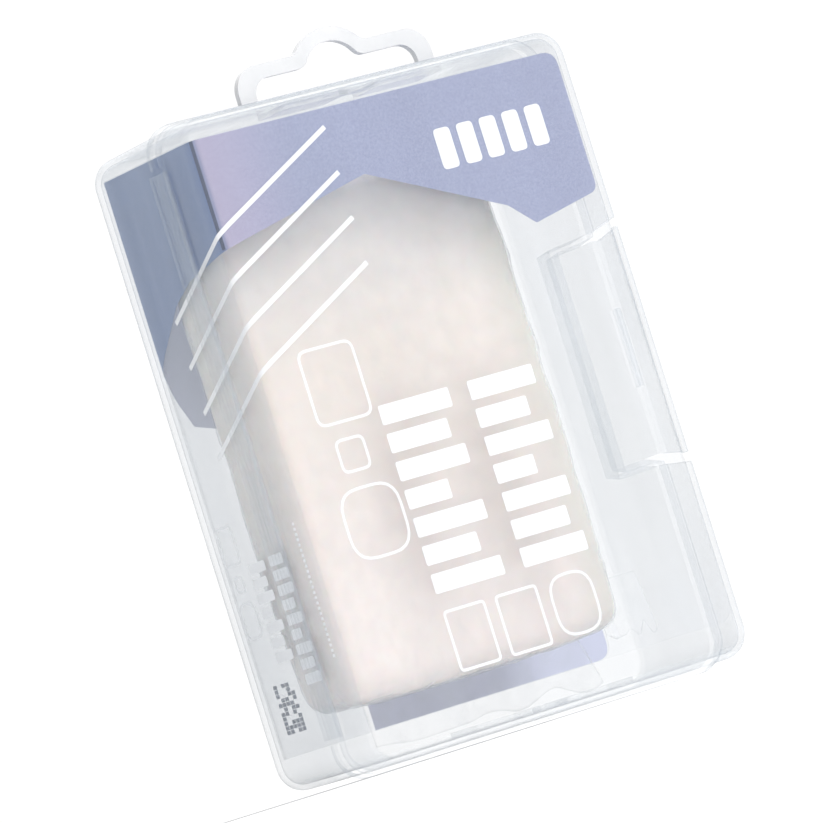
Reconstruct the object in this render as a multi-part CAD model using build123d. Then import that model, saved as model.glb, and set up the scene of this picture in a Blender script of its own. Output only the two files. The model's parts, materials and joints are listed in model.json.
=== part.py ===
from build123d import *
import os

# A clay bar in its clear hinged box. Millimetres, +Z up, front towards -Y.
# The model is drawn with Y = 0 in the plane where lid and tray meet. As written out, its origin is
# the middle of the flat lower edge of the rim, which it stands on.

# ---- driving dimensions ------------------------------------------------------------------
RIM_WIDTH = 80.6  # across the rim, the widest run of the box
RIM_HEIGHT = 115.0  # from the standing edge of the rim to its top
TRAY_DEPTH = 24.75  # from the parting plane to the back
LID_DEPTH = 10.25  # from the parting plane to the front
WALL = 1.0
PARTING_GAP = 0.1  # between the lid's rim and the tray's rim

MOUTH_WIDTH = 79.3  # outside of both halves at the parting plane
MOUTH_HEIGHT = 113.3
FRONT_WIDTH = 78.8  # outside of the lid's front
FRONT_HEIGHT = 112.9
BACK_WIDTH = 78.4  # outside of the tray's back
BACK_HEIGHT = 112.7
CORNER_R = 4.8  # corners of the box seen from the front
FACE_EDGE_R = 2.0  # rounded edges round the front and back faces
RIM_THICK = 2.6
RIM_EDGE_R = 0.35
LID_RIM_WIDTH = 80.1
LID_RIM_HEIGHT = 114.1
LID_RIM_THICK = 0.9
LID_RIM_EDGE_R = 0.2

CENTRE_Z = RIM_HEIGHT / 2
CUT_PAST = 1.0  # a cutter runs this far past the walls that it cuts
INNER_EDGE_SHARPER = 0.6  # a wall's inner edge has its outer radius less its thickness, up to this share

# hinge, down the left side
HINGE_LENGTH = 99.0
HINGE_BREAK = 101.0  # length of rim left out for the hinge
BEAD_WIDE = 0.9
BEAD_OUT = 0.9  # how far a bead stands off the wall
TRAY_BEAD_Y = 2.85
LID_BEAD_Y = -2.1
WEB_THICK = 0.35
WEB_STANDOFF = 0.35

# latch, in the middle of the right side
TAB_HALF = 20.6  # half the length of the tab at its root
TAB_TAPER = 1.4  # each end comes in by this towards the free edge
TAB_FREE_Y = -2.4
TAB_ROOT_X = 37.6
TAB_CREASE = 0.3
SLIT = 1.7
TAB_BEAD_LONG = 14.0
TAB_BEAD_THICK = 0.9
TAB_BEAD_IN = 1.1
CATCH_Y = -4.7
CATCH_THICK = 1.0
CATCH_REACH = 38.0  # x of the catch's tip
CATCH_RAMP_START = -0.6  # the ramp begins and ends at these places along Y, from CATCH_Y
CATCH_RAMP_END = 0.4
RECESS_DEEP = 3.5
RECESS_HALF = 20.8
RECESS_BACK_Y = 11.5
RECESS_SLOPE = 1.6  # each end of the recess comes in by this towards its floor
RECESS_BACK_SLOPE = 1.0  # and its back wall by this
CATCH_TONGUE_Y = -6.0

# tongues that locate the lid, top and bottom
TONGUE_LONG = 33.0
TONGUE_NOTCH = 6.4
TONGUE_THICK = 0.9
TONGUE_GAP = 0.35  # from the lid's inner wall
TONGUE_REACH = 5.7
TONGUE_ROOT = 3.0
NUB_WIDE = 5.0
NUB_THICK = 1.1

# hang loop
LOOP_WIDTH = 40.2
LOOP_SHOULDER = 6.2  # above the rim
LOOP_TOP = 9.8
LOOP_BAND = 2.5
LOOP_LEG = 3.3
LOOP_CORNER_R = 4.6
LOOP_BUMP_R = 8.6
LOOP_THICK = 1.3
LOOP_MID_Y = 1.4
LOOP_NECK_R = 2.2
LOOP_HOLE_R = 3.2
LOOP_DRAWN_LOW = -8.0  # its outline is drawn down to here, then trimmed at the rim

# printed clear insert, folded round the clay: front, left side, back
SHEET = 0.25
SHEET_LEFT_X = -37.9
SHEET_FRONT_Y = -8.95
SHEET_BACK_Y = 23.5
SHEET_FRONT_RIGHT = 38.0
SHEET_BACK_RIGHT = 33.2
SHEET_LOW_Z = 7.2
SHEET_HIGH_Z = 110.4
SHEET_FOLD_R = 1.8
SHEET_CORNER_R = 3.0

# clay and its film wrap
CLAY_WIDTH = 59.0
CLAY_HEIGHT = 88.0
CLAY_THICK = 20.0
CLAY_LEFT_X = -36.9
CLAY_FRONT_Y = -3.5
CLAY_LOW_Z = 11.5
CLAY_EDGE_R = 4.5
WRAP_GAP = 0.1
WRAP_THICK = 0.3
TAIL_WIDE = 44.0
TAIL_THICK = 0.6
TAIL_FOOT_Z = 2.2


def upright_rect(width, height, y, radius):
    """A rounded rectangle in a plane across Y, centred on the box."""
    plane = Plane(origin=(0, y, CENTRE_Z), x_dir=(1, 0, 0), z_dir=(0, -1, 0))
    return plane * RectangleRounded(width, height, radius)


def side_rect(x, y0, y1, half):
    """A rectangle in a plane across X, from y0 to y1 and half above and below the middle."""
    plane = Plane(origin=(x, 0, CENTRE_Z), x_dir=(0, 1, 0), z_dir=(1, 0, 0))
    return plane * make_face(Polyline((y0, -half), (y1, -half), (y1, half), (y0, half), close=True))


def block(x0, x1, y0, y1, z0, z1):
    """A plain block between two corners."""
    size = (x1 - x0, y1 - y0, z1 - z0)
    middle = ((x0 + x1) / 2, (y0 + y1) / 2, (z0 + z1) / 2)
    return Pos(*middle) * Box(*size)


def shell_core(face_width, face_height, face_y, open_y, inset):
    """The drafted block of one half of the box, taken in by inset all round."""
    rim = upright_rect(MOUTH_WIDTH - 2 * inset, MOUTH_HEIGHT - 2 * inset, open_y, CORNER_R - inset)
    face = upright_rect(face_width - 2 * inset, face_height - 2 * inset, face_y, CORNER_R - inset)
    core = loft([rim, face])
    edges = core.faces().sort_by(Axis.Y)[0 if face_y < open_y else -1].edges()
    return fillet(edges, FACE_EDGE_R - min(inset, FACE_EDGE_R * INNER_EDGE_SHARPER))


def rim_band(width, height, y0, y1, edge_r):
    """The rim that stands out round the parting plane."""
    plate = extrude(upright_rect(width, height, y1, CORNER_R + (width - MOUTH_WIDTH) / 2), y1 - y0)
    sides = plate.edges().group_by(Axis.Y)
    return fillet(sides[0] + sides[-1], edge_r)


def recess_block(grow):
    """The finger recess, grown by a wall on its closed sides when grow is set."""
    mouth_x = RIM_WIDTH / 2 + CUT_PAST
    floor_x = MOUTH_WIDTH / 2 - RECESS_DEEP - grow
    front = -CUT_PAST - grow
    back = RECESS_BACK_Y + grow
    mouth = side_rect(mouth_x, front, back, RECESS_HALF + grow)
    floor = side_rect(floor_x, front, back - RECESS_BACK_SLOPE, RECESS_HALF - RECESS_SLOPE + grow)
    return loft([floor, mouth])


def tongues():
    """Four short tongues inside the lid's top and bottom walls, in two pairs."""
    inner_half = MOUTH_HEIGHT / 2 - WALL
    outer_face = inner_half - TONGUE_GAP
    inner_face = outer_face - TONGUE_THICK
    run = (TONGUE_LONG - TONGUE_NOTCH) / 2
    pieces = []
    for side in (-1, 1):
        for end in (-1, 1):
            x_mid = end * (TONGUE_NOTCH + run) / 2
            zs = sorted((CENTRE_Z + side * outer_face, CENTRE_Z + side * inner_face))
            blade = block(x_mid - run / 2, x_mid + run / 2, -TONGUE_REACH, TONGUE_ROOT, *zs)
            zs = sorted((CENTRE_Z + side * (inner_half + WALL / 2), CENTRE_Z + side * inner_face))
            root = block(x_mid - run / 2, x_mid + run / 2, PARTING_GAP, TONGUE_ROOT, *zs)
            pieces.append(blade + root)
    return pieces


def hinge_bead(y_mid):
    """One of the two beads that the hinge web runs between."""
    root_x = -MOUTH_WIDTH / 2 + WALL / 2
    out_x = -MOUTH_WIDTH / 2 - BEAD_OUT
    return block(out_x, root_x, y_mid - BEAD_WIDE / 2, y_mid + BEAD_WIDE / 2,
                 CENTRE_Z - HINGE_LENGTH / 2, CENTRE_Z + HINGE_LENGTH / 2)


def hinge_break():
    """The length of rim that is left out down the left side."""
    return block(-RIM_WIDTH, -MOUTH_WIDTH / 2, -2 * RIM_THICK, 2 * RIM_THICK,
                 CENTRE_Z - HINGE_BREAK / 2, CENTRE_Z + HINGE_BREAK / 2)


def catch():
    """The tongue behind the latch tab, with the catch that the tab snaps over."""
    face_x = MOUTH_WIDTH / 2 - RECESS_DEEP
    half = RECESS_HALF - RECESS_SLOPE
    blade = block(face_x - WALL, face_x, CATCH_TONGUE_Y, PARTING_GAP, CENTRE_Z - half, CENTRE_Z + half)
    tip = Plane.XY.offset(CENTRE_Z - TAB_BEAD_LONG / 2)
    back_y = CATCH_Y + CATCH_THICK
    ramp = Polyline((face_x, CATCH_Y + CATCH_RAMP_START), (CATCH_REACH, CATCH_Y + CATCH_RAMP_END),
                    (CATCH_REACH, back_y), (face_x, back_y), close=True)
    return blade + extrude(tip * make_face(ramp), TAB_BEAD_LONG)


def make_tray():
    """The deep half of the box, with rim, tongues, finger recess, catch and hinge bead."""
    outer = shell_core(BACK_WIDTH, BACK_HEIGHT, TRAY_DEPTH, 0, 0)
    cavity = shell_core(BACK_WIDTH, BACK_HEIGHT, TRAY_DEPTH - WALL, 0, WALL)
    rim = rim_band(RIM_WIDTH, RIM_HEIGHT, 0, RIM_THICK, RIM_EDGE_R)
    tray = outer + rim
    tray -= hinge_break()
    tray -= recess_block(0)
    tray -= cavity - recess_block(WALL)
    tray -= block(-RIM_WIDTH, RIM_WIDTH, -2 * RIM_THICK, 0, -CUT_PAST, RIM_HEIGHT + CUT_PAST)
    for piece in tongues():
        tray += piece
    return tray + hinge_bead(TRAY_BEAD_Y) + catch()


def lid_shell():
    """The shallow half of the box, before the latch tab is cut from it."""
    outer = shell_core(FRONT_WIDTH, FRONT_HEIGHT, -LID_DEPTH, -PARTING_GAP, 0)
    cavity = shell_core(FRONT_WIDTH, FRONT_HEIGHT, -LID_DEPTH + WALL, -PARTING_GAP, WALL)
    rim = rim_band(LID_RIM_WIDTH, LID_RIM_HEIGHT, -PARTING_GAP - LID_RIM_THICK, -PARTING_GAP, LID_RIM_EDGE_R)
    return outer + (rim - hinge_break()) - cavity


def tab_zone(grow, root_x, free_y):
    """The tapered block that marks out the latch tab in the lid's right wall."""
    front = -LID_DEPTH - CUT_PAST
    root = TAB_HALF + grow
    tip = TAB_HALF - TAB_TAPER + grow
    flat = Plane(origin=(root_x, 0, CENTRE_Z), x_dir=(0, 1, 0), z_dir=(1, 0, 0))
    outline = Polyline((front, -root), (free_y, -tip), (free_y, tip), (front, root), close=True)
    return extrude(flat * make_face(outline), RIM_WIDTH / 2 + CUT_PAST - root_x)


def make_lid():
    """The shallow half of the box, with its latch window, nubs and hinge bead."""
    lid = lid_shell() - tab_zone(SLIT, TAB_ROOT_X - TAB_CREASE, CUT_PAST)
    inner_half = MOUTH_HEIGHT / 2 - WALL
    for side in (-1, 1):
        zs = sorted((CENTRE_Z + side * (inner_half + WALL / 2), CENTRE_Z + side * (inner_half - NUB_THICK)))
        lid += block(-NUB_WIDE / 2, NUB_WIDE / 2, -TONGUE_REACH, -TONGUE_REACH / 3, *zs)
    return lid + hinge_bead(LID_BEAD_Y)


def make_latch_tab():
    """The springy tab of the lid's right wall, with the bead that snaps behind the catch."""
    tab = lid_shell() & tab_zone(0, TAB_ROOT_X, TAB_FREE_Y)
    wall_x = MOUTH_WIDTH / 2 - WALL / 2
    bead = block(wall_x - WALL / 2 - TAB_BEAD_IN, wall_x, TAB_FREE_Y - TAB_BEAD_THICK, TAB_FREE_Y,
                 CENTRE_Z - TAB_BEAD_LONG / 2, CENTRE_Z + TAB_BEAD_LONG / 2)
    return tab + bead


def make_hinge_web():
    """The thin web between the two beads, which folds as the lid opens."""
    near_x = -MOUTH_WIDTH / 2 - WEB_STANDOFF
    return block(near_x - WEB_THICK, near_x, LID_BEAD_Y + BEAD_WIDE / 2, TRAY_BEAD_Y - BEAD_WIDE / 2,
                 CENTRE_Z - HINGE_LENGTH / 2, CENTRE_Z + HINGE_LENGTH / 2)


def make_hang_loop():
    """The loop that hangs the box on a display hook."""
    bump_z = LOOP_TOP - LOOP_BUMP_R
    low = LOOP_DRAWN_LOW
    body = RectangleRounded(LOOP_WIDTH, LOOP_SHOULDER - low, LOOP_CORNER_R)
    outline = Pos(0, (LOOP_SHOULDER + low) / 2) * body + Pos(0, bump_z) * Circle(LOOP_BUMP_R)
    hole_high = LOOP_SHOULDER - LOOP_BAND
    hole_wide = LOOP_WIDTH - 2 * LOOP_LEG
    hole = Pos(0, (hole_high + low) / 2) * RectangleRounded(hole_wide, hole_high - low, LOOP_HOLE_R)
    hole += Pos(0, bump_z) * Circle(LOOP_BUMP_R - LOOP_BAND)
    below = Pos(0, low / 2 - CUT_PAST) * Rectangle(LOOP_WIDTH + 2 * CUT_PAST, 2 * CUT_PAST - low)
    loop = outline - hole - below
    necks = [v for v in loop.vertices() if abs(v.X) < LOOP_WIDTH / 3 and v.Y > hole_high / 2]
    loop = fillet(necks, LOOP_NECK_R)
    plane = Plane(origin=(0, LOOP_MID_Y + LOOP_THICK / 2, RIM_HEIGHT), x_dir=(1, 0, 0), z_dir=(0, -1, 0))
    return extrude(plane * loop, LOOP_THICK)


def make_insert():
    """The printed clear sheet, folded into three panels."""
    path = FilletPolyline(
        (SHEET_FRONT_RIGHT, SHEET_FRONT_Y),
        (SHEET_LEFT_X, SHEET_FRONT_Y),
        (SHEET_LEFT_X, SHEET_BACK_Y),
        (SHEET_BACK_RIGHT, SHEET_BACK_Y),
        radius=SHEET_FOLD_R,
    )
    strip = make_face(path.offset_2d(SHEET, side=Side.RIGHT, closed=True).edges())
    sheet = extrude(Plane.XY.offset(SHEET_LOW_Z) * strip, SHEET_HIGH_Z - SHEET_LOW_Z)
    corners = []
    for edge in sheet.edges().filter_by(Axis.Y):
        middle = edge.center()
        if edge.length < 2 * SHEET and middle.X > SHEET_BACK_RIGHT - SHEET:
            corners.append(edge)
    return fillet(corners, SHEET_CORNER_R)


def clay_form(grow):
    """The block of clay, grown by a margin all round."""
    form = block(CLAY_LEFT_X - grow, CLAY_LEFT_X + CLAY_WIDTH + grow, CLAY_FRONT_Y - grow,
                 CLAY_FRONT_Y + CLAY_THICK + grow, CLAY_LOW_Z - grow, CLAY_LOW_Z + CLAY_HEIGHT + grow)
    return fillet(form.edges(), CLAY_EDGE_R + grow)


def make_clay():
    """The bar itself."""
    return clay_form(0)


def make_wrap():
    """The film round the clay, with its gathered tail below, which the clay stands on."""
    film = clay_form(WRAP_GAP + WRAP_THICK)
    x_mid = CLAY_LEFT_X + CLAY_WIDTH / 2
    y_mid = CLAY_FRONT_Y + CLAY_THICK / 2
    film += block(x_mid - TAIL_WIDE / 2, x_mid + TAIL_WIDE / 2,
                  y_mid - TAIL_THICK / 2, y_mid + TAIL_THICK / 2, TAIL_FOOT_Z, CLAY_LOW_Z)
    return film - clay_form(WRAP_GAP)


NODES = {
    "tray": make_tray,
    "lid": make_lid,
    "latch_tab": make_latch_tab,
    "hinge_web": make_hinge_web,
    "hang_loop": make_hang_loop,
    "printed_insert": make_insert,
    "clay_block": make_clay,
    "clay_wrap": make_wrap,
}
os.makedirs("parts", exist_ok=True)
for name, make in NODES.items():
    export_step(Pos(0, -RIM_THICK / 2, 0) * make(), f"parts/{name}.step")
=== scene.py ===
import json
import math
import random

import bpy
from mathutils import Euler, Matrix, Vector, noise

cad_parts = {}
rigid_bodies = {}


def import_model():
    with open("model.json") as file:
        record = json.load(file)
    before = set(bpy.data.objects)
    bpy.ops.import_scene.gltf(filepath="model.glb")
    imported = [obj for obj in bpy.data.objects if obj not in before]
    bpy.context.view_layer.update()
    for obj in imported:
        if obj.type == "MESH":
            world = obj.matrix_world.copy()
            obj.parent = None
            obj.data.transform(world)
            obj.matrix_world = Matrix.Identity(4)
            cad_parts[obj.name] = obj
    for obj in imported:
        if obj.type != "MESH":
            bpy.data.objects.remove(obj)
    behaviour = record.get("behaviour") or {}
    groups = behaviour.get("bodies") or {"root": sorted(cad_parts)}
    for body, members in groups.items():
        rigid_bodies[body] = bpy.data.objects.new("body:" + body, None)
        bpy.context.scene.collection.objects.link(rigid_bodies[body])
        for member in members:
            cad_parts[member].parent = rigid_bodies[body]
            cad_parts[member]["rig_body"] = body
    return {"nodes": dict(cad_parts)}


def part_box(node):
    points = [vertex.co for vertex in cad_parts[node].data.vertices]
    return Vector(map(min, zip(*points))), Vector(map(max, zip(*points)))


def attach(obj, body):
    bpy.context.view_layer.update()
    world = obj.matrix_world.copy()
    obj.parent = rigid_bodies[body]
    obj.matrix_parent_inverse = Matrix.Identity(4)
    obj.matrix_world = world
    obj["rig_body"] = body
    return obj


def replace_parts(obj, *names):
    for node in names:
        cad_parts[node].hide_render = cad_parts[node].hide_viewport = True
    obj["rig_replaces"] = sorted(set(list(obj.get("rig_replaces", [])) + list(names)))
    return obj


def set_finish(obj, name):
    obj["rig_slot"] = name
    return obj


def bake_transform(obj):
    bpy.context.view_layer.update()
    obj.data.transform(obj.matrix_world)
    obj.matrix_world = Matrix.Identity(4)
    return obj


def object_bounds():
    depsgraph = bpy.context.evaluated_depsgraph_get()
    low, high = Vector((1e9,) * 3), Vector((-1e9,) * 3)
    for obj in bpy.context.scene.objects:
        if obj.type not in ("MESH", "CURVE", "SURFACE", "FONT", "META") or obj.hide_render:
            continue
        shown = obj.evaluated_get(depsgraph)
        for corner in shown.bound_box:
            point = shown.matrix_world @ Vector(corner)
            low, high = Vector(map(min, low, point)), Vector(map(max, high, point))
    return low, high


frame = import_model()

# A clay bar in its clear hinged box: how the box, the printed sheet, the clay and its film look.
# Metres, +Z up, front towards -Y. Sizes of the print are in millimetres on the flat sheet.

MM = 0.001
SEED = 7
CAD_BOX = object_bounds()
bpy.ops.object.select_all(action="DESELECT")
random.seed(SEED)


# ---- objects -------------------------------------------------------------------------------


def only(piece):
    """Makes a piece the one selected, active object."""
    bpy.ops.object.select_all(action="DESELECT")
    piece.select_set(True)
    bpy.context.view_layer.objects.active = piece


def edit(piece):
    """Opens a piece for editing with all its faces selected."""
    only(piece)
    bpy.ops.object.mode_set(mode="EDIT")
    bpy.ops.mesh.select_mode(type="FACE")
    bpy.ops.mesh.select_all(action="SELECT")


def close_edit():
    bpy.ops.object.mode_set(mode="OBJECT")


def apply_modifier(piece, kind, **values):
    """Adds a modifier with these values and applies it."""
    only(piece)
    modifier = piece.modifiers.new(kind.lower(), kind)
    for key, value in values.items():
        setattr(modifier, key, value)
    bpy.ops.object.modifier_apply(modifier=modifier.name)


def settle(piece):
    """Puts a piece's place in its mesh, with its object at the origin."""
    only(piece)
    bpy.ops.object.transform_apply(location=True, rotation=True, scale=True)
    return piece


def dress(piece, material):
    """Gives a piece this one material."""
    piece.data.materials.clear()
    piece.data.materials.append(material)


def face_outwards(piece):
    """Turns the normals of a thickened sheet outwards."""
    edit(piece)
    bpy.ops.mesh.normals_make_consistent(inside=False)
    close_edit()


def add_to_scene(name, data):
    """A new object for a lamp or a camera, linked to the scene."""
    thing = bpy.data.objects.new(name, data)
    bpy.context.scene.collection.objects.link(thing)
    return thing


def finish_piece(piece, name, material, body, slot):
    """Names a piece, gives it its finish and makes it ride on its body."""
    piece.name = name
    piece.data.name = name
    dress(piece, material)
    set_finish(piece, slot)
    if body:
        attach(piece, body)


# ---- shared surface effects ----------------------------------------------------------------


NOISE_RANGE = (0.3, 0.7)  # where nearly all of a soft noise's values lie


def mottle_group():
    """Soft noise on the object's own coordinates, mapped between Low and High."""
    tree = bpy.data.node_groups.new("mottle", "ShaderNodeTree")
    for label, value in (("Scale", 60.0), ("Detail", 3.0), ("Low", 0.0), ("High", 1.0)):
        socket = tree.interface.new_socket(label, in_out="INPUT", socket_type="NodeSocketFloat")
        socket.default_value = value
    stretch = tree.interface.new_socket("Stretch", in_out="INPUT", socket_type="NodeSocketVector")
    stretch.default_value = (1.0, 1.0, 1.0)
    tree.interface.new_socket("Value", in_out="OUTPUT", socket_type="NodeSocketFloat")
    nodes, links = tree.nodes, tree.links
    given = nodes.new("NodeGroupInput")
    result = nodes.new("NodeGroupOutput")
    place = nodes.new("ShaderNodeTexCoord")
    stretched = nodes.new("ShaderNodeVectorMath")
    stretched.operation = "MULTIPLY"
    cloud = nodes.new("ShaderNodeTexNoise")
    spread = nodes.new("ShaderNodeMapRange")
    spread.inputs["From Min"].default_value, spread.inputs["From Max"].default_value = NOISE_RANGE
    links.new(place.outputs["Object"], stretched.inputs[0])
    links.new(given.outputs["Stretch"], stretched.inputs[1])
    links.new(stretched.outputs["Vector"], cloud.inputs["Vector"])
    links.new(given.outputs["Scale"], cloud.inputs["Scale"])
    links.new(given.outputs["Detail"], cloud.inputs["Detail"])
    links.new(cloud.outputs["Fac"], spread.inputs["Value"])
    links.new(given.outputs["Low"], spread.inputs["To Min"])
    links.new(given.outputs["High"], spread.inputs["To Max"])
    links.new(spread.outputs["Result"], result.inputs["Value"])
    return tree


MOTTLE = mottle_group()


class Finish:
    """A material under construction: one Principled shader and the nodes that feed it."""

    def __init__(self, name, **plain):
        self.material = bpy.data.materials.new(name)
        self.material.use_nodes = True
        self.nodes = self.material.node_tree.nodes
        self.links = self.material.node_tree.links
        self.shader = self.nodes["Principled BSDF"]
        for label, value in plain.items():
            self.shader.inputs[label.replace("_", " ")].default_value = value

    def feed(self, source, label):
        self.links.new(source, self.shader.inputs[label])

    def mottle(self, scale, low, high, stretch=(1, 1, 1), detail=3.0):
        node = self.nodes.new("ShaderNodeGroup")
        node.node_tree = MOTTLE
        values = {"Scale": scale, "Detail": detail, "Low": low, "High": high, "Stretch": stretch}
        for label, value in values.items():
            node.inputs[label].default_value = value
        return node.outputs["Value"]

    def maths(self, operation, a, b):
        node = self.nodes.new("ShaderNodeMath")
        node.operation = operation
        for socket, value in zip(node.inputs, (a, b)):
            if isinstance(value, (int, float)):
                socket.default_value = value
            else:
                self.links.new(value, socket)
        return node.outputs["Value"]

    def blend(self, factor, a, b):
        """A colour between a and b, each a colour or a socket."""
        node = self.nodes.new("ShaderNodeMix")
        node.data_type = "RGBA"
        self.links.new(factor, node.inputs["Factor"])
        for label, value in (("A", a), ("B", b)):
            socket = [s for s in node.inputs if s.name == label and s.type == "RGBA"][0]
            if isinstance(value, tuple):
                socket.default_value = (*value, 1.0)
            else:
                self.links.new(value, socket)
        return [s for s in node.outputs if s.type == "RGBA"][0]

    def along(self, axis, start, end):
        """0 before start and 1 after end, along one of the object's axes."""
        place = self.nodes.new("ShaderNodeTexCoord")
        split = self.nodes.new("ShaderNodeSeparateXYZ")
        ramp = self.nodes.new("ShaderNodeMapRange")
        ramp.interpolation_type = "SMOOTHSTEP"
        ramp.inputs["From Min"].default_value = start
        ramp.inputs["From Max"].default_value = end
        self.links.new(place.outputs["Object"], split.inputs["Vector"])
        self.links.new(split.outputs[axis], ramp.inputs["Value"])
        return ramp.outputs["Result"]

    def rim(self, power, facing, grazing):
        """A value that rises from facing to grazing as the surface turns edge on."""
        weight = self.nodes.new("ShaderNodeLayerWeight")
        weight.inputs["Blend"].default_value = 0.5
        curved = self.maths("POWER", weight.outputs["Facing"], power)
        scaled = self.maths("MULTIPLY", curved, grazing - facing)
        return self.maths("ADD", scaled, facing)

    def thin_to_light(self, opacity, share):
        """The opacity as seen, less this share of it where the ink would cast a shadow."""
        seen = self.nodes.new("ShaderNodeLightPath")
        lost = self.maths("MULTIPLY", seen.outputs["Is Shadow Ray"], share)
        return self.maths("MULTIPLY", opacity, self.maths("SUBTRACT", 1.0, lost))

    def bump(self, height, strength, distance):
        node = self.nodes.new("ShaderNodeBump")
        node.inputs["Strength"].default_value = strength
        node.inputs["Distance"].default_value = distance
        self.links.new(height, node.inputs["Height"])
        self.feed(node.outputs["Normal"], "Normal")


# ---- finishes ------------------------------------------------------------------------------


PLASTIC_IOR = 1.49
SLOW_CLOUD = 45  # noise scales, per metre
INK_GRAIN = 2600
INK_GLOSS = 800
INK_RELIEF = 3200
INK_BUMP = (0.1, 0.00002)  # strength, and depth in metres
SHADOW_LOST = 0.75  # share of the white ink's shadow that light comes through

BLUE_FACE = ((0.30, 0.325, 0.475), (0.34, 0.365, 0.515))
# Deeper blue for the side panel: painted shade.
BLUE_SIDE_SHADED = ((0.125, 0.18, 0.335), (0.185, 0.245, 0.41))
BLUE_BY_FOLD = (0.415, 0.375, 0.515)
# Paler blue for the back panel: painted light against the clay's shadow.
BLUE_BACK_PAINTED_LIGHT = (0.74, 0.76, 0.95)


def clear_finish(name, tint, facing, grazing, wave):
    """Clear moulded plastic: nearly gone face on, blue-grey edge on, with faint flow marks."""
    finish = Finish(name, IOR=PLASTIC_IOR)
    flow = finish.mottle(220, 0.0, 1.0, stretch=(1, 1, 0.08))
    shade = tuple(0.82 * c for c in tint)
    finish.feed(finish.blend(flow, tint, shade), "Base Color")
    finish.feed(finish.mottle(300, 0.06, 0.16), "Roughness")
    haze = finish.mottle(90, 0.9, 1.25, stretch=(1, 1, 0.3))
    finish.feed(finish.maths("MULTIPLY", finish.rim(2.2, facing, grazing), haze), "Alpha")
    finish.bump(finish.mottle(SLOW_CLOUD, 0.0, 1.0, stretch=(1, 1, 0.35)), 0.3, wave)
    return finish.material


def milky_finish():
    """Thick milky plastic with a satin surface."""
    finish = Finish("milky_plastic", IOR=PLASTIC_IOR)
    clouds = finish.mottle(140, 0.0, 1.0)
    finish.feed(finish.blend(clouds, (0.74, 0.745, 0.755), (0.68, 0.69, 0.705)), "Base Color")
    finish.feed(finish.mottle(500, 0.3, 0.42), "Roughness")
    finish.feed(finish.rim(1.5, 0.9, 1.0), "Alpha")
    finish.bump(finish.mottle(900, 0.0, 1.0), 0.12, 0.00006)
    return finish.material


def ink_finish(name, colour, second, opacity):
    """Printing ink: a fine grain over slow mottling, thin enough for light to come through."""
    finish = Finish(name)
    slow = finish.mottle(SLOW_CLOUD, 0.0, 1.0)
    grained = finish.blend(finish.mottle(INK_GRAIN, 0.0, 0.35, detail=1.0), colour, second)
    finish.feed(finish.blend(finish.maths("MULTIPLY", slow, 0.4), grained, second), "Base Color")
    finish.feed(finish.mottle(INK_GLOSS, 0.32, 0.46), "Roughness")
    solid = finish.mottle(INK_GRAIN, opacity - 0.03, opacity, detail=1.0)
    finish.feed(finish.thin_to_light(solid, SHADOW_LOST), "Alpha")
    finish.bump(finish.mottle(INK_RELIEF, 0.0, 1.0, detail=1.0), *INK_BUMP)
    return finish.material


def blue_finish(fold_x):
    """The blue field's ink: pinkish by the fold, deeper on the side panel as painted shade, paler
    on the back one as painted light.
    """
    finish = Finish("blue_ink")
    grain = finish.mottle(INK_GRAIN, 0.0, 1.0, detail=1.0)
    streak = finish.mottle(260, 0.0, 1.0, stretch=(1, 1, 0.03))
    by_fold = finish.along("X", fold_x - 4 * MM, fold_x + 22 * MM)
    past_fold = finish.along("X", fold_x, fold_x + 1.4 * MM)
    back_painted_light = finish.along("Y", SHEET_HIGH.y - 1.5 * MM, SHEET_HIGH.y - 0.3 * MM)
    front = finish.blend(by_fold, BLUE_BY_FOLD, finish.blend(grain, *BLUE_FACE))
    # Deeper blue on the side panel: painted shade, where the side faces away from the light.
    folded = finish.blend(past_fold, finish.blend(streak, *BLUE_SIDE_SHADED), front)
    # Paler blue on the back panel: painted light against the clay's shadow there.
    finish.feed(finish.blend(back_painted_light, folded, BLUE_BACK_PAINTED_LIGHT), "Base Color")
    finish.feed(finish.mottle(INK_GLOSS, 0.3, 0.45), "Roughness")
    finish.feed(finish.mottle(INK_GRAIN, 0.93, 0.98, detail=1.0), "Alpha")
    finish.bump(finish.mottle(INK_RELIEF, 0.0, 1.0, detail=1.0), *INK_BUMP)
    return finish.material


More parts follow.
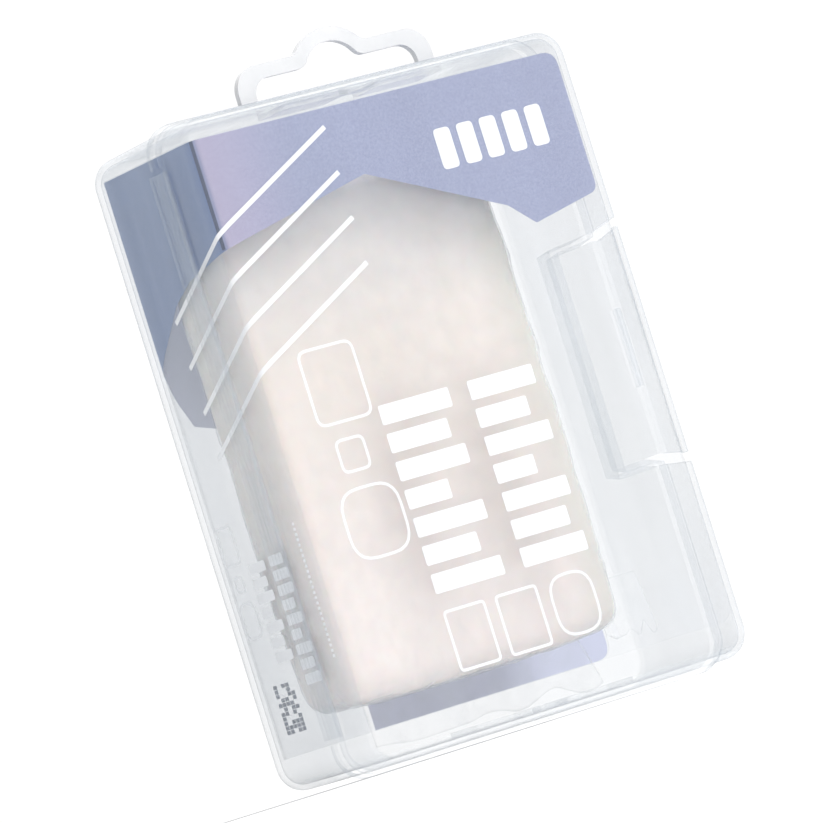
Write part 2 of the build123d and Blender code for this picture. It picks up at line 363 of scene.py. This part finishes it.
def clay_finish(low, high):
    """Soft clay: pinkish cream, lighter towards the foot with painted light, with a painted shadow
    greying the top and painted shade in olive on its side faces and behind.
    """
    finish = Finish("clay", Subsurface_Weight=0.25, Subsurface_Scale=0.004, IOR=1.45)
    # The pink is the clay's own tone, set lighter than the cream as painted light towards the foot.
    cream, lit_pink = (0.87, 0.785, 0.71), (0.92, 0.83, 0.785)
    # Grey for the clay's specks and for the painted shadow at its top; olive for painted shade on
    # its sides and back.
    speck_and_shadow_grey, shade_olive = (0.70, 0.69, 0.70), (0.62, 0.62, 0.54)
    # Painted shadow of the blue field: patchy grey over the top of the clay.
    top = finish.along("Z", high.z - 34 * MM, high.z - 4 * MM)
    # Pink and lighter towards the foot: the clay's own pink with painted light.
    body = finish.blend(finish.along("Z", low.z + 10 * MM, high.z - 30 * MM), lit_pink, cream)
    body = finish.blend(finish.mottle(38, 0.0, 0.5), body, lit_pink)
    painted_top_shadow = finish.maths("MULTIPLY", top, finish.mottle(60, 0.45, 0.85))
    body = finish.blend(painted_top_shadow, body, speck_and_shadow_grey)
    # Painted shade in olive on the right side face.
    right = finish.along("X", high.x - 12 * MM, high.x + 1 * MM)
    body = finish.blend(finish.maths("MULTIPLY", right, 0.8), body, shade_olive)
    # Painted shade in olive on the left side face.
    left = finish.along("X", low.x + 2.2 * MM, low.x + 0.6 * MM)
    body = finish.blend(finish.maths("MULTIPLY", left, 0.15), body, shade_olive)
    # Painted shade in olive towards the back of the bar.
    back = finish.along("Y", low.y + 2 * MM, high.y)
    body = finish.blend(finish.maths("MULTIPLY", back, 0.35), body, shade_olive)
    specks = finish.maths("MULTIPLY", finish.mottle(520, 0.0, 1.0), 0.12)
    finish.feed(finish.blend(specks, body, speck_and_shadow_grey), "Base Color")
    finish.feed(finish.mottle(160, 0.38, 0.6), "Roughness")
    finish.bump(finish.mottle(260, 0.0, 1.0, detail=6.0), 0.35, 0.00025)
    return finish.material


def film_finish():
    """Thin clear film, crinkled so that it glints along its creases; its colour is lighter along
    them too, a painted glint.
    """
    finish = Finish("clear_film", IOR=PLASTIC_IOR)
    crease = finish.mottle(330, 0.0, 1.0, detail=6.0)
    # Lighter along the creases: painted glint.
    finish.feed(finish.blend(crease, (0.80, 0.82, 0.84), (0.92, 0.93, 0.94)), "Base Color")
    finish.feed(finish.mottle(200, 0.06, 0.2), "Roughness")
    gleam = finish.maths("MULTIPLY", finish.rim(2.0, 0.05, 0.6), finish.mottle(240, 0.5, 1.5))
    finish.feed(gleam, "Alpha")
    finish.bump(crease, 0.6, 0.0008)
    return finish.material


def floor_finish():
    """Plain pale paper, very slightly uneven."""
    finish = Finish("pale_floor", Roughness=0.9)
    cloud = finish.mottle(8, 0.0, 1.0)
    finish.feed(finish.blend(cloud, (0.9, 0.9, 0.9), (0.92, 0.92, 0.92)), "Base Color")
    return finish.material


# ---- clay and film -------------------------------------------------------------------------


CLAY_EDGE_R = 4.6 * MM
CLAY_VOXEL = 0.9 * MM
FIN_THICK = 0.12 * MM


def make_clay(material):
    """The bar: a soft slab with rounded edges, dented, inside the space of its solid."""
    low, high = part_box("clay_block")
    bpy.ops.mesh.primitive_cube_add(size=1, location=(low + high) / 2, scale=high - low)
    clay = settle(bpy.context.object)
    edit(clay)
    bpy.ops.mesh.bevel(offset=CLAY_EDGE_R, segments=5, affect="EDGES")
    close_edit()
    apply_modifier(clay, "REMESH", mode="VOXEL", voxel_size=CLAY_VOXEL)
    apply_modifier(clay, "SMOOTH", factor=0.5, iterations=6)
    knead(clay, low, high)
    only(clay)
    bpy.ops.object.shade_smooth()
    finish_piece(clay, "clay_bar", material, "tray", "clay")
    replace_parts(clay, "clay_block")
    return clay


def held_inside(place, low, high):
    """The nearest point to this one inside the box from low to high."""
    return Vector(min(max(place[i], low[i]), high[i]) for i in range(3))


def knead(clay, low, high):
    """Presses slow waves and small dents inwards, deepest at the corners of the bar."""
    middle = (low + high) / 2
    half = (high - low) / 2
    places = []
    for vertex in clay.data.vertices:
        slow = noise.noise(vertex.co * 42) * 0.5 + 0.5
        small = max(0.0, noise.noise(vertex.co * 170 + Vector((3, 1, 7))))
        across, up = (abs(vertex.co[i] - middle[i]) / half[i] for i in (0, 2))
        corner = max(0.0, across + up - 1.55)
        press = (0.55 * slow + 0.3 * small + 2.0 * corner) * MM
        places.append(vertex.co - vertex.normal * press)
    for vertex, place in zip(clay.data.vertices, places):
        vertex.co = held_inside(place, low, high)
    clay.data.update()


def make_film(clay, material):
    """The film: it follows the clay a hair outside it, pulled into sharp creases."""
    only(clay)
    bpy.ops.object.duplicate()
    film = bpy.context.object
    low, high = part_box("clay_wrap")
    for vertex in film.data.vertices:
        drawn = Vector((vertex.co.x * 130, vertex.co.y * 60, vertex.co.z * 38))
        fine = 1 - abs(noise.noise(vertex.co * 210 + Vector((5, 2, 1)))) * 2
        long = 1 - abs(noise.noise(drawn)) * 2
        stand = (0.16 + 0.2 * max(0.0, fine) ** 3 + 0.28 * max(0.0, long) ** 4) * MM
        vertex.co = held_inside(vertex.co + vertex.normal * stand, low, high)
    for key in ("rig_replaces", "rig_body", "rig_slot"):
        if key in film:
            del film[key]
    film.parent = None
    finish_piece(film, "film_wrap", material, "tray", "film")
    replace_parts(film, "clay_wrap")


def make_film_end(name, material, left, right, y, top, foot, creases, lean):
    """A loose end of the film: a thin crumpled fin with a ragged lower edge."""
    wide, tall = right - left, top - foot
    bpy.ops.mesh.primitive_grid_add(x_subdivisions=64, y_subdivisions=14, size=1)
    fin = bpy.context.object
    for vertex in fin.data.vertices:
        across, down = vertex.co.x + 0.5, 0.5 - vertex.co.y
        flare = 0.94 + 0.06 * down
        x = (left + right) / 2 + (across - 0.5) * wide * flare + lean * down
        fold = 1.7 * noise.noise(Vector((across * creases, 0.8 * down, top * 90)))
        ragged = noise.noise(Vector((across * 5, 2.5, 0))) * 0.3 * down
        z = top - down * tall * (0.78 + ragged)
        vertex.co = (x, y + fold * (0.15 + 0.45 * down) * MM, z)
    apply_modifier(fin, "SOLIDIFY", thickness=FIN_THICK, offset=0.0)
    face_outwards(fin)
    bpy.ops.object.shade_smooth()
    finish_piece(fin, name, material, "tray", "film")


# ---- hinge ---------------------------------------------------------------------------------


WEB_THICK = 0.2 * MM
WEB_BOW = 0.08 * MM
GROOVE_DEEP = 0.05 * MM
GROOVES = 4


def make_hinge_web(material):
    """The thin web between the two beads, bowed and grooved along its length."""
    low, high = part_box("hinge_web")
    bpy.ops.mesh.primitive_grid_add(x_subdivisions=16, y_subdivisions=40, size=1)
    web = bpy.context.object
    for vertex in web.data.vertices:
        across, up = vertex.co.x + 0.5, vertex.co.y + 0.5
        groove = GROOVE_DEEP * math.cos(across * GROOVES * math.tau)
        bow = WEB_BOW * math.sin(across * math.pi)
        y = high.y + (low.y - high.y) * across
        vertex.co = ((low.x + high.x) / 2 - bow + groove, y, low.z + (high.z - low.z) * up)
    apply_modifier(web, "SOLIDIFY", thickness=WEB_THICK, offset=0.0)
    face_outwards(web)
    bpy.ops.object.shade_smooth_by_angle(angle=math.radians(40))
    finish_piece(web, "hinge_strip", material, None, "clear_box")
    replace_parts(web, "hinge_web")
    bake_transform(web)


# ---- print on the folded sheet -------------------------------------------------------------

SHEET_LOW, SHEET_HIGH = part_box("printed_insert")
FOLD_R = 1.8
SHEET_CORNER_R = 2.8
BACK_PRINT_RUN = 70.8
SIDE_RUN = (SHEET_HIGH.y - SHEET_LOW.y) / MM
FRONT_END = (SHEET_HIGH.x - SHEET_LOW.x) / MM - 0.3
BACK_END = -SIDE_RUN - BACK_PRINT_RUN
PRINT_MARGIN = 0.2
PRINT_TOP = SHEET_HIGH.z / MM - PRINT_MARGIN
PRINT_FOOT = SHEET_LOW.z / MM + PRINT_MARGIN
INK = 0.03
FOLD_CUTS = 6
LAYER_OFF = {  # how far each layer of ink lies off the sheet
    "blue_print": 0.01, "fold_shade_strip": 0.05, "white_bars": 0.09,
    "white_frames": 0.09, "white_lines": 0.13, "dark_squares": 0.21,
}


def wrap(flat):
    """Folds a point of the flat print (across, up, off the sheet) round the sheet, into metres."""
    across, up, off = flat
    if across >= -SIDE_RUN / 2:
        along, corner_y, way = across, SHEET_LOW.y / MM, 1
    else:
        along, corner_y, way = -SIDE_RUN - across, SHEET_HIGH.y / MM, -1
    corner_x = SHEET_LOW.x / MM
    if along >= FOLD_R:
        x, y = corner_x + along, corner_y - way * off
    elif along <= -FOLD_R:
        x, y = corner_x - off, corner_y - way * along
    else:
        turn = (along + FOLD_R) / (2 * FOLD_R) * math.pi / 2
        reach = FOLD_R + off
        x = corner_x + FOLD_R - reach * math.cos(turn)
        y = corner_y + way * (FOLD_R - reach * math.sin(turn))
    return Vector((x, y, up)) * MM


def soften(corners, steps=5):
    """An outline from corners (across, up, radius), each rounded where its radius is set."""
    outline = []
    for i, (across, up, radius) in enumerate(corners):
        here = Vector((across, up))
        if not radius:
            outline.append(here)
            continue
        start = here + (Vector(corners[i - 1][:2]) - here).normalized() * radius
        end = here + (Vector(corners[(i + 1) % len(corners)][:2]) - here).normalized() * radius
        for k in range(steps + 1):
            t = k / steps
            outline.append(start * (1 - t) ** 2 + here * 2 * t * (1 - t) + end * t * t)
    return outline


def patch(corners, line=0.0):
    """A flat patch of ink with this outline, or only a line of that width inside its edge."""
    outline = soften(corners)
    bpy.ops.mesh.primitive_circle_add(vertices=len(outline), fill_type="NGON", radius=1)
    piece = bpy.context.object
    for vertex, place in zip(piece.data.vertices, outline):
        vertex.co = (place.x, place.y, 0.0)
    piece.data.update()
    edit(piece)
    if piece.data.polygons[0].normal.z < 0:
        bpy.ops.mesh.flip_normals()
    if line:
        bpy.ops.mesh.inset(thickness=line)
        bpy.ops.mesh.delete(type="FACE")
    close_edit()
    return piece


def bar(x0, x1, z0, z1, radius=0.4, line=0.0):
    """A rounded bar, solid or drawn as an outline."""
    corners = [(x0, z0, radius), (x1, z0, radius), (x1, z1, radius), (x0, z1, radius)]
    return patch(corners, line)


def stroke(start, end, width):
    """A straight line between two points of the flat print."""
    a, b = Vector(start), Vector(end)
    aside = (b - a).normalized().orthogonal() * width / 2
    corners = [(*(a - aside), 0), (*(b - aside), 0), (*(b + aside), 0), (*(a + aside), 0)]
    return patch(corners)


def print_layer(name, pieces, material):
    """Joins patches into one layer of ink, gives it thickness and folds it round the sheet."""
    layer = pieces[0]
    bpy.ops.object.select_all(action="DESELECT")
    for piece in pieces:
        piece.select_set(True)
    bpy.context.view_layer.objects.active = layer
    if len(pieces) > 1:
        bpy.ops.object.join()
    edit(layer)
    for corner in (0.0, -SIDE_RUN):
        for k in range(FOLD_CUTS + 1):
            at = corner + FOLD_R * (2 * k / FOLD_CUTS - 1)
            bpy.ops.mesh.select_all(action="SELECT")
            bpy.ops.mesh.bisect(plane_co=(at, 0, 0), plane_no=(1, 0, 0))
    close_edit()
    apply_modifier(layer, "SOLIDIFY", thickness=INK, offset=1.0)
    for vertex in layer.data.vertices:
        vertex.co = wrap((vertex.co.x, vertex.co.y, vertex.co.z + LAYER_OFF[name]))
    layer.data.update()
    finish_piece(layer, name, material, "tray", "printed_sheet")


def blue_field():
    """The coloured field round the top of all three panels, with its stepped lower edge."""
    lower = [
        (0, 91.0, 0), (30.9, 97.6, 0), (56.9, 86.2, 0), (61.5, 82.1, 0), (FRONT_END, 84.9, 1.6),
    ]
    upper = [(FRONT_END, PRINT_TOP, SHEET_CORNER_R), (BACK_END, PRINT_TOP, SHEET_CORNER_R)]
    back = [(BACK_END, 66, 0), (-81, 72, 0), (-53, 60.5, 0), (-36, 66, 0)]
    side = [(-SIDE_RUN, 75.1, 0), (-28.9, 78.8, 0), (-20.3, 85.8, 0), (-13.7, 88.7, 0)]
    return patch(lower + upper + back + side)


def blue_band():
    """The band along the foot of the back panel."""
    top, near = 16.5, -52.5
    return patch([
        (BACK_END, PRINT_FOOT, SHEET_CORNER_R), (near, PRINT_FOOT, 0),
        (near, top, 0), (BACK_END, top, 0),
    ])


def bar_column(x0, length, z0, count, thick, gap, shares):
    """A stack of bars of uneven length from x0, which stands for a line of print."""
    pieces = []
    for k in range(count):
        z = z0 + k * (thick + gap)
        pieces.append(bar(x0, x0 + length * shares[k % len(shares)], z, z + thick))
    return pieces


def solid_print():
    """The bold bars on the front and side panels, and the row of blocks at the top right."""
    shares = (1.0, 0.78, 1.0, 0.62, 1.0, 0.86, 1.0)
    front = {"z0": 26.0, "count": 7, "thick": 3.4, "gap": 1.55}
    side = {"thick": 1.8, "gap": 0.8}
    pieces = bar_column(19.4, 14.5, shares=shares, **front)
    pieces += bar_column(37.9, 13.6, shares=shares[::-1], **front)
    pieces += bar_column(-23.4, 5.6, z0=23.0, count=7, shares=shares, **side)
    pieces += bar_column(-16.2, 5.2, z0=18.0, count=9, shares=shares[::-1], **side)
    block_step, dot_step = 4.8, 0.92
    for k in range(5):
        x = 46.6 + block_step * k
        pieces.append(bar(x, x + 3.4, 94.8, 102.0, radius=0.9))
    for k in range(26):
        z = 21.0 + dot_step * k
        pieces.append(bar(-5.6, -4.9, z, z + 0.55, radius=0.1))
    return pieces


def outlined_print():
    """The outlined rounded frames on the front and side panels."""
    frames = [
        (6.2, 18.4, 34.5, 47.0, 4.5), (9.0, 15.0, 49.5, 55.5, 1.5), (7.0, 18.4, 58.0, 71.5, 2.0),
        (19.5, 28.2, 12.2, 23.0, 1.0), (30.2, 39.0, 12.2, 23.0, 1.0), (41.0, 50.2, 12.4, 23.4, 4.0),
        (-30.4, -25.0, 28.0, 34.6, 2.0), (-29.2, -26.2, 36.2, 39.2, 0.8),
        (-30.4, -25.0, 41.0, 48.0, 1.0),
    ]
    return [bar(x0, x1, z0, z1, radius, line=0.5) for x0, x1, z0, z1, radius in frames]


SLANT_HEIGHTS = (70.0, 78.0, 86.0, 94.0)  # where each slanting line crosses the fold
LINE_WIDE = 0.85


def slant_lines():
    """Four plain parallel lines that run slanting across the fold."""
    return [stroke((-22.0, z - 11.0), (26.0, z + 13.0), LINE_WIDE) for z in SLANT_HEIGHTS]


def dark_marks():
    """A block of small dark squares, filled at random, low on the back panel."""
    marks = []
    step, wide, filled = 0.8, 0.7, 0.55
    for row in range(11):
        for column in range(5):
            if random.random() < filled:
                x, z = -39.5 + step * column, 11.0 + step * row
                marks.append(bar(x, x + wide, z, z + wide, radius=0.05))
    return marks


def fold_shade():
    """Painted shade: a darker strip of ink that runs down the fold beside the blue field, where the
    fold lies in shade.
    """
    wide, foot = 0.8, 91.2
    return patch([(-wide, foot, 0), (0.0, foot, 0), (0.0, PRINT_TOP, 0), (-wide, PRINT_TOP, 0)])


def make_print():
    blue = blue_finish(SHEET_LOW.x)
    white = ink_finish("white_ink", (0.93, 0.93, 0.94), (0.88, 0.88, 0.9), 1.0)
    navy = ink_finish("navy_ink", (0.05, 0.06, 0.10), (0.08, 0.09, 0.14), 0.98)
    # Dark ink for the painted shade along the fold.
    fold_shade_finish = ink_finish("fold_shade_ink", (0.05, 0.065, 0.12), (0.09, 0.11, 0.18), 0.98)
    print_layer("blue_print", [blue_field(), blue_band()], blue)
    # The fold strip is painted shade along the fold, not print.
    print_layer("fold_shade_strip", [fold_shade()], fold_shade_finish)
    print_layer("white_bars", solid_print(), white)
    print_layer("white_frames", outlined_print(), white)
    print_layer("white_lines", slant_lines(), white)
    print_layer("dark_squares", dark_marks(), navy)


# ---- the box's own parts -------------------------------------------------------------------


def dress_cad_parts():
    """Gives the moulded parts and the sheet their finishes, on the parts as they are."""
    wave = 0.00004
    box_plastic = clear_finish(
        "clear_plastic", (0.54, 0.60, 0.665), facing=0.05, grazing=0.55, wave=wave
    )
    sheet_plastic = clear_finish(
        "clear_sheet", (0.70, 0.73, 0.78), facing=0.03, grazing=0.4, wave=wave
    )
    finishes = {
        "tray": box_plastic, "lid": box_plastic, "latch_tab": box_plastic,
        "printed_insert": sheet_plastic, "hang_loop": milky_finish(),
    }
    for node, material in finishes.items():
        dress(frame["nodes"][node], material)
    return box_plastic


# ---- studio --------------------------------------------------------------------------------


CAMERA_PLACE = (-0.6361, -0.98403, 0.0034)
CAMERA_TURN = (92.7658, 17.3961, -31.8182)  # degrees
LENS, SENSOR = 300.709, 36  # millimetres
FAR = 20
FLOOR_WIDE = 12
LIT_WORLD, SEEN_WORLD = 0.62, 1.05  # the white surround as a light, and as the camera sees it
SURFACES_CROSSED = 48  # a look through the box crosses some twenty surfaces


def make_camera():
    """A long lens low in front of the box's left edge, turned about its own axis."""
    data = bpy.data.cameras.new("camera")
    data.lens = LENS
    data.sensor_width = SENSOR
    data.clip_end = FAR
    camera = add_to_scene("camera", data)
    camera.location = CAMERA_PLACE
    camera.rotation_euler = Euler([math.radians(a) for a in CAMERA_TURN])
    bpy.context.scene.camera = camera


def make_floor():
    bpy.ops.mesh.primitive_plane_add(size=FLOOR_WIDE, location=(0, 0, 0))
    floor = bpy.context.object
    floor.name = "floor"
    floor.data.materials.append(floor_finish())


def softbox(name, place, size, power):
    """A large soft lamp aimed at the middle of the box."""
    data = bpy.data.lights.new(name, "AREA")
    data.shape = "RECTANGLE"
    data.size, data.size_y = size
    data.energy = power
    lamp = add_to_scene(name, data)
    target = (CAD_BOX[0] + CAD_BOX[1]) / 2
    lamp.location = place
    lamp.rotation_euler = (Vector(target) - Vector(place)).to_track_quat("-Z", "Y").to_euler()
    lamp.visible_camera = False


def even_light(way, power, spread):
    """A wide far lamp that lights the whole floor alike and casts a soft shadow."""
    data = bpy.data.lights.new("even", "SUN")
    data.energy = power
    data.angle = math.radians(spread)
    lamp = add_to_scene("even", data)
    lamp.rotation_euler = (-Vector(way)).to_track_quat("-Z", "Y").to_euler()


def make_world():
    """An even white surround: full white to look at, softer as a source of light."""
    world = bpy.data.worlds.new("studio")
    bpy.context.scene.world = world
    world.use_nodes = True
    nodes, links = world.node_tree.nodes, world.node_tree.links
    seen = nodes.new("ShaderNodeLightPath")
    strength = nodes.new("ShaderNodeMapRange")
    strength.inputs["To Min"].default_value = LIT_WORLD
    strength.inputs["To Max"].default_value = SEEN_WORLD
    links.new(seen.outputs["Is Camera Ray"], strength.inputs["Value"])
    links.new(strength.outputs["Result"], nodes["Background"].inputs["Strength"])
    nodes["Background"].inputs["Color"].default_value = (1, 1, 1, 1)


def make_studio():
    make_camera()
    make_floor()
    make_world()
    softbox("key", (0.55, -1.0, 0.95), size=(0.9, 0.9), power=5.5)
    softbox("left_strip", (-1.1, -0.25, 0.55), size=(0.35, 1.1), power=2)
    softbox("low_fill", (-0.45, -1.2, 0.12), size=(0.9, 0.35), power=1.6)
    softbox("back_fill", (0.35, 1.15, 0.75), size=(0.9, 0.6), power=1.5)
    even_light((0.45, -0.55, 1.0), power=2.3, spread=28)
    scene = bpy.context.scene
    scene.view_settings.view_transform = "Standard"
    scene.cycles.transparent_max_bounces = SURFACES_CROSSED


# ---- making --------------------------------------------------------------------------------

make_studio()
box_finish = dress_cad_parts()
clay_low, clay_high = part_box("clay_block")
wrap_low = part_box("clay_wrap")[0]
film = film_finish()
bar_of_clay = make_clay(clay_finish(clay_low, clay_high))
make_film(bar_of_clay, film)
middle_y = (clay_low.y + clay_high.y) / 2
make_film_end("film_tail", film, y=middle_y, creases=7, lean=1.5 * MM,
              left=clay_low.x + 6 * MM, right=clay_high.x - 5 * MM,
              top=clay_low.z + 2 * MM, foot=wrap_low.z)
make_film_end("film_ear", film, y=middle_y - 4 * MM, creases=3, lean=1 * MM,
              left=clay_high.x - 4 * MM, right=clay_high.x + 7 * MM,
              top=clay_low.z + 9 * MM, foot=clay_low.z - 3 * MM)
make_hinge_web(box_finish)
make_print()

bpy.ops.object.select_all(action="DESELECT")
